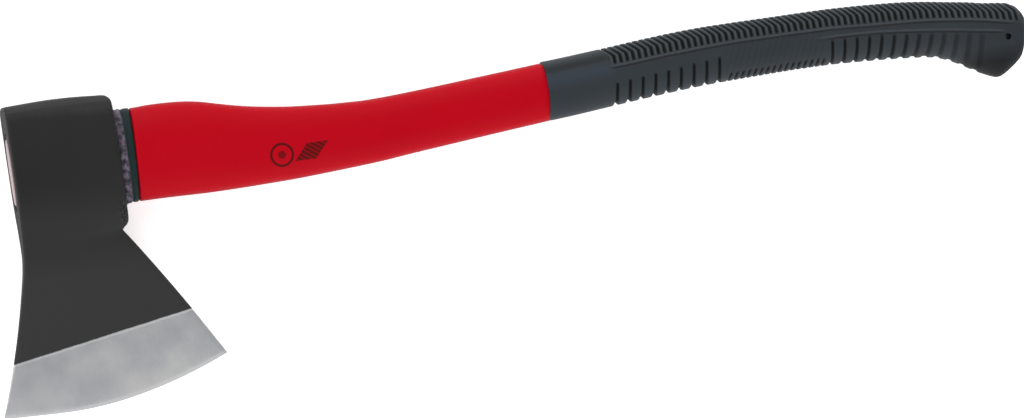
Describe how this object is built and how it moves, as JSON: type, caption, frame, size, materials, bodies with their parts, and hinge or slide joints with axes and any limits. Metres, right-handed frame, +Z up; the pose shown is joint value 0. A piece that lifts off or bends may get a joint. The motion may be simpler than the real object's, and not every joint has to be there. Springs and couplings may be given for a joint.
{
  "type": "axe",
  "caption": "Forged axe with a flared blade, ground bit and flat poll, on a curved fibreglass handle with a red jacket, an eye collar and a ribbed rubber grip that droops to a knob.",
  "frame": {"origin": "on the lower cheek of the head, which the axe lies on, under the middle of the eye", "axes": "+X along the eye from the head towards the knob, +Y in the plane of the blade from the cutting edge towards the poll, +Z up through the head's thickness"},
  "size_m": [0.6245, 0.1815, 0.034],
  "materials": {
    "black_paint": "satin black paint on forged steel; the bit is ground bright",
    "collar_rubber": "matt dark rubber",
    "cast_resin": "cast epoxy, dark red",
    "fibreglass": "sawn end of a glass-fibre bar",
    "red_plastic": "satin moulded plastic",
    "grip_rubber": "matt ribbed slate-grey rubber"
  },
  "bodies": {
    "root": {"axe_head": "black_paint", "eye_collar": "collar_rubber", "eye_resin": "cast_resin", "handle_core": "fibreglass", "handle_jacket": "red_plastic", "rubber_grip": "grip_rubber"}
  },
  "joints": []
}
